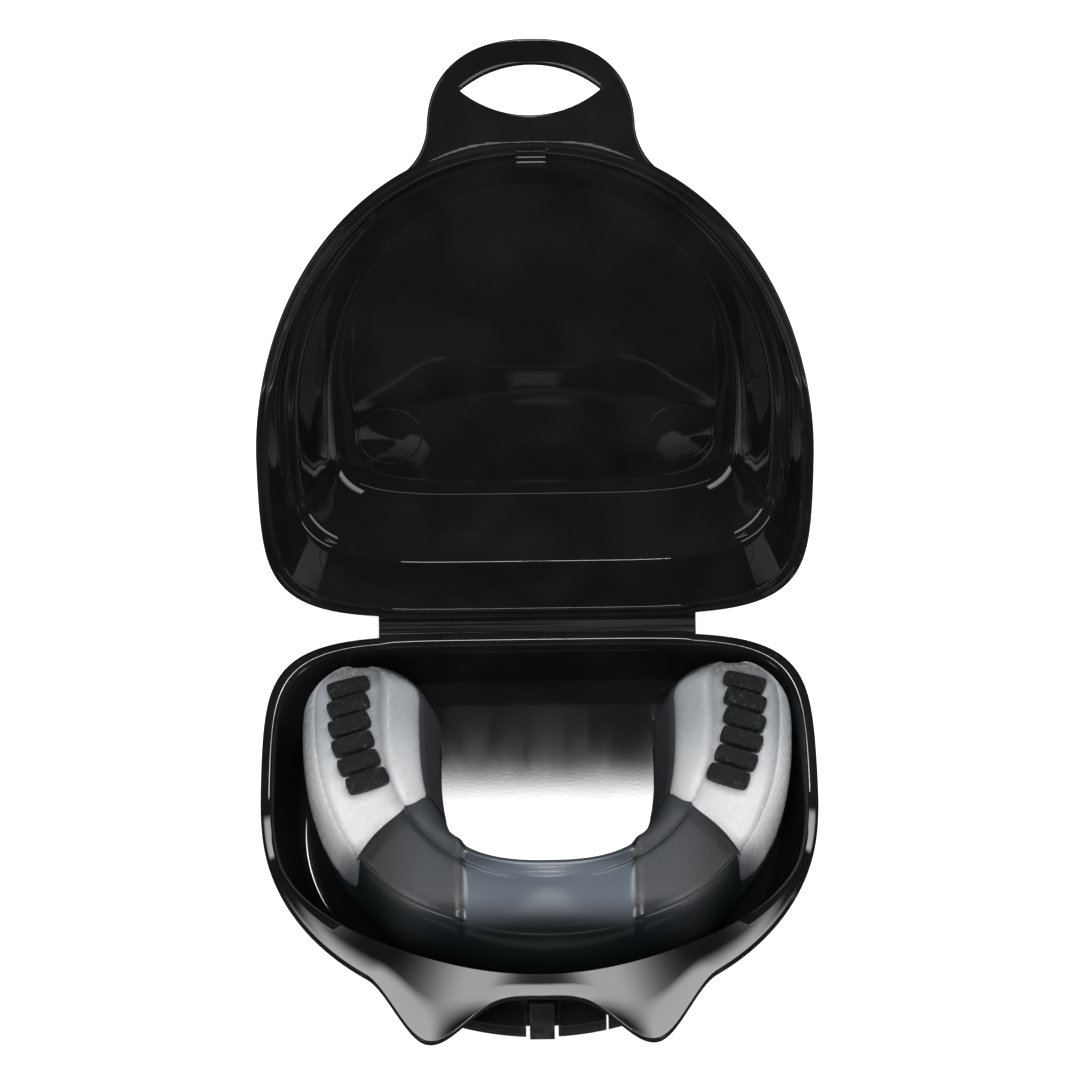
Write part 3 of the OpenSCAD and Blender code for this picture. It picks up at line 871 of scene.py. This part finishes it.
def sheet_faces(rows, cols):
    """Faces of a closed sheet: a grid of outer points, then the same grid inside, and the edge between."""
    count = rows * cols
    faces = []
    for j in range(rows - 1):
        for i in range(cols - 1):
            a, b = j * cols + i, j * cols + i + 1
            faces.append((a, b, b + cols, a + cols))
            faces.append((count + a, count + a + cols, count + b + cols, count + b))
    edge = ([(0, i) for i in range(cols)] + [(j, cols - 1) for j in range(1, rows)]
            + [(rows - 1, i) for i in range(cols - 2, -1, -1)] + [(j, 0) for j in range(rows - 2, 0, -1)])
    ring = [j * cols + i for j, i in edge]
    for a, b in zip(ring, ring[1:] + ring[:1]):
        faces.append((a, count + a, count + b, b))
    return faces


def patch(name, q, v, lift, depth, material):
    """A closed sheet over the guard's surface: q and v are grids, lift and depth its two sides."""
    at, n = guard_at(q, v), guard_normal(q, v)
    outer = at + n * lift[..., None]
    inner = at - n * depth[..., None]
    verts = np.concatenate([outer.reshape(-1, 3), inner.reshape(-1, 3)])
    return make(name, verts, sheet_faces(*q.shape), "guard", material, sharp=60)


def vent_depth(at):
    """1 inside the two breathing slots near the foot of the front face."""
    x = np.abs(at[..., 0] - GUARD_X)
    z = at[..., 2]
    return ease((1.5 - np.abs(x - 9.1)) / 0.4) * ease((0.75 - np.abs(z - 9.6)) / 0.35) * (at[..., 1] < -25)


def front_shell():
    v = np.linspace(0, EDGE_V[-1], 145)[:, None]
    w = np.linspace(0, 1, 221)[None, :]
    start = shell_start(v)
    q = mix(start, 180 - start, w)
    v = np.broadcast_to(v, q.shape)
    edge = np.minimum(np.minimum(w, 1 - w) / 0.01, np.minimum(v, EDGE_V[-1] - v) / 0.15)
    at = guard_at(q, v)
    x = np.abs(at[..., 0] - GUARD_X)
    lobe = ease((x - 11.2) / 1.8) * ease(np.minimum(w, 1 - w) / 0.05)
    lobe = lobe * ease((v - 0.3) / 1.5) * ease((9 - v) / 1.5)
    seam_bump = np.exp(-((x - 12.4) / 0.7) ** 2) * ease((v - 6.2) / 0.6) * ease((8.6 - v) / 0.6)
    lift = mix(-0.1, 0.05 + 0.28 * lobe + 0.22 * seam_bump, np.sqrt(np.clip(edge, 0, 1)))
    lift = lift - 0.42 * vent_depth(at)
    depth = np.full(q.shape, 0.55)
    piece = patch("front_shell", q, v, lift, depth, SMOKE)
    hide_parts("guard_shell")


def lingual_flanges():
    """The dark band along the inner side of each arm, up to where the front shell takes over."""
    q = stations(2)[2:]
    q = q[q <= FLANGE_TO_Q][None, :]
    w = np.linspace(0, 1, 25)[:, None]
    for label in ("right", "left"):
        here = np.broadcast_to(q if label == "right" else 180 - q[:, ::-1], (len(w), q.size))
        v = mix(flange_start(here), FLANGE_V[1], w)
        near_edge = np.minimum(w, 1 - w) / 0.08
        lift = mix(-0.15, 0.12, np.sqrt(np.clip(near_edge, 0, 1))) + 0 * here
        piece = patch("lingual_flange_" + label, here, v, lift, np.full(here.shape, 0.4), SMOKE)
        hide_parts("guard_shell")


gel_liner()
front_shell()
lingual_flanges()


# ---- bite pads ----

def bite_pads():
    rng = np.random.default_rng(7)
    length, width, turn, thick = 6.0, 2.85, 20, 0.75
    for name in sorted(n for n in frame["nodes"] if n.startswith("bite_pad_")):
        low, high = box_mm(name)
        centre = (low + high) / 2
        side = 1 if "_right_" in name else -1
        rows, cols = 15, 31
        a = np.linspace(-1, 1, cols)[None, :] * np.ones((rows, 1))
        b = np.linspace(-1, 1, rows)[:, None] * np.ones((1, cols))
        x = a * np.sqrt(1 - b ** 4 * 0.15) * length / 2
        y = b * np.sqrt(1 - a ** 4 * 0.3) * width / 2
        if name.endswith("_1"):
            y = np.where(y > 0, y * (1 - 0.22 * (1 - side * a)), y)
        rim = np.clip((1 - np.maximum(np.abs(a), np.abs(b) ** 1.5)) / 0.2, 0, 1)
        top = thick * 0.45 * np.sqrt(rim) + 0.12 * (1 - a * a) * (1 - b * b)
        top = top + rng.normal(0, 0.022, a.shape) * (rim > 0.3)
        angle = math.radians(-side * turn)
        px = centre[0] + x * math.cos(angle) - y * math.sin(angle)
        py = centre[1] + x * math.sin(angle) + y * math.cos(angle)
        upper = np.stack([px, py, high[2] - thick * 0.45 + top], axis=-1).reshape(-1, 3)
        lower = np.stack([px, py, np.full_like(px, low[2] - 0.3)], axis=-1).reshape(-1, 3)
        piece = make(name.replace("bite_pad", "grip_pad"), np.concatenate([upper, lower]),
                     sheet_faces(rows, cols), "guard", PAD, sharp=60)
        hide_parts(name)


bite_pads()


# ---- stage, light and camera ----

def stage_material(name, colour, strength):
    made = bpy.data.materials.new(name)
    made.use_nodes = True
    shader = made.node_tree.nodes["Principled BSDF"]
    shader.inputs["Base Color"].default_value = colour
    shader.inputs["Roughness"].default_value = 0.9
    shader.inputs["Emission Color"].default_value = (1, 1, 1, 1)
    shader.inputs["Emission Strength"].default_value = strength
    return made


def face_case(thing, azimuth, elevation, distance):
    """Puts a light or card into the scene in that direction from the case, turned towards it."""
    a, e = math.radians(azimuth), math.radians(elevation)
    away = Vector((math.sin(a) * math.cos(e), -math.cos(a) * math.cos(e), math.sin(e)))
    thing.location = away * distance
    thing.rotation_euler = away.to_track_quat("Z", "Y").to_euler()
    bpy.context.scene.collection.objects.link(thing)


def card(name, size, azimuth, elevation, distance, strength, shade=None, fade=0):
    """A soft light card that only reflections see, facing the case from that direction.

    shade sets its brightness from its lower to its upper edge; fade softens its two sides.
    """
    mesh = bpy.data.meshes.new(name)
    w, h = size[0] / 2, size[1] / 2
    mesh.from_pydata([(-w, -h, 0), (w, -h, 0), (w, h, 0), (-w, h, 0)], [], [(0, 1, 2, 3)])
    made = bpy.data.materials.new(name)
    made.use_nodes = True
    tree = made.node_tree
    tree.nodes.clear()
    out = tree.nodes.new("ShaderNodeOutputMaterial")
    glow = tree.nodes.new("ShaderNodeEmission")
    glow.inputs["Strength"].default_value = strength
    tree.links.new(glow.outputs["Emission"], out.inputs["Surface"])
    where = tree.nodes.new("ShaderNodeTexCoord")
    parts = tree.nodes.new("ShaderNodeSeparateXYZ")
    tree.links.new(where.outputs["Object"], parts.inputs["Vector"])
    if fade:
        side = tree.nodes.new("ShaderNodeMath")
        side.operation = "ABSOLUTE"
        soft = tree.nodes.new("ShaderNodeMapRange")
        soft.interpolation_type = "SMOOTHSTEP"
        soft.inputs["From Min"].default_value = w - fade
        soft.inputs["From Max"].default_value = w
        soft.inputs["To Min"].default_value = strength
        soft.inputs["To Max"].default_value = 0
        tree.links.new(parts.outputs["X"], side.inputs[0])
        tree.links.new(side.outputs["Value"], soft.inputs["Value"])
        tree.links.new(soft.outputs["Result"], glow.inputs["Strength"])
    if shade:
        ramp = tree.nodes.new("ShaderNodeValToRGB")
        level = tree.nodes.new("ShaderNodeMapRange")
        level.inputs["From Min"].default_value = -h
        level.inputs["From Max"].default_value = h
        tree.links.new(parts.outputs["Y"], level.inputs["Value"])
        tree.links.new(level.outputs["Result"], ramp.inputs["Fac"])
        tree.links.new(ramp.outputs["Color"], glow.inputs["Color"])
        ramp.color_ramp.interpolation = "EASE"
        stops = ramp.color_ramp.elements
        while len(stops) < len(shade):
            stops.new(0.5)
        for stop, (at, value) in zip(stops, shade):
            stop.position = at
            stop.color = (value, value, value, 1)
    mesh.materials.append(made)
    piece = bpy.data.objects.new(name, mesh)
    face_case(piece, azimuth, elevation, distance)
    piece.visible_camera = False
    piece.visible_diffuse = False
    piece.visible_transmission = False
    piece.visible_shadow = False


def stage():
    floor_mesh = bpy.data.meshes.new("floor")
    r = 4.0
    floor_mesh.from_pydata([(-r, -r, 0), (r, -r, 0), (r, r, 0), (-r, r, 0)], [], [(0, 1, 2, 3)])
    floor_mesh.materials.append(stage_material("pale_floor", (0.9, 0.9, 0.9, 1), 0.8))
    floor = bpy.data.objects.new("floor", floor_mesh)
    floor.location.z = -0.0002
    bpy.context.scene.collection.objects.link(floor)
    floor.visible_glossy = False
    world = bpy.data.worlds.new("studio")
    bpy.context.scene.world = world
    world.use_nodes = True
    world.node_tree.nodes["Background"].inputs["Color"].default_value = (1, 1, 1, 1)
    world.node_tree.nodes["Background"].inputs["Strength"].default_value = 0.03


def soft_light(name, azimuth, elevation, distance, size, power):
    light = bpy.data.lights.new(name, "AREA")
    light.shape = "RECTANGLE"
    light.size, light.size_y = size
    light.energy = power
    lamp = bpy.data.objects.new(name, light)
    face_case(lamp, azimuth, elevation, distance)
    lamp.visible_glossy = False


def camera():
    """Looks down at the open case from the latch side, with a long lens."""
    elevation, distance, roll = math.radians(58), 0.95, math.radians(-0.75)
    view_width = 0.1534
    target = Vector((0.00055, 0.0383, 0.0163))
    data = bpy.data.cameras.new("camera")
    data.sensor_width = 36
    data.lens = 36 * distance / view_width
    data.clip_start = 0.05
    made = bpy.data.objects.new("camera", data)
    bpy.context.scene.collection.objects.link(made)
    back = Vector((0, -math.cos(elevation), math.sin(elevation)))
    made.location = target + back * distance
    look = (-back).to_track_quat("-Z", "Y").to_matrix().to_4x4()
    made.rotation_euler = (look @ Matrix.Rotation(roll, 4, "Z")).to_euler()
    bpy.context.scene.camera = made


stage()
card("high_panel", (0.11, 0.058), 180, 61.0, 1.0, 32,
     shade=((0.03, 0), (0.1, 0.18), (0.18, 0.7), (0.27, 1), (0.85, 1), (1, 0)))
card("low_panel", (0.56, 0.64), 180, 36, 1.2, 7.5,
     shade=((0, 0), (0.15, 1), (0.8, 1), (1, 0)), fade=0.16)
card("front_bar", (1.2, 0.05), 0, 38, 1.2, 3)
card("left_strip", (0.3, 0.9), -70, 30, 1.0, 4.5, fade=0.12)
card("right_strip", (0.3, 0.9), 70, 30, 1.0, 4.5, fade=0.12)
soft_light("key", -20, 60, 1.0, (0.8, 0.8), 9)
soft_light("fill", 120, 55, 1.0, (0.9, 0.9), 6)
camera()
bpy.context.scene.view_settings.view_transform = "Standard"
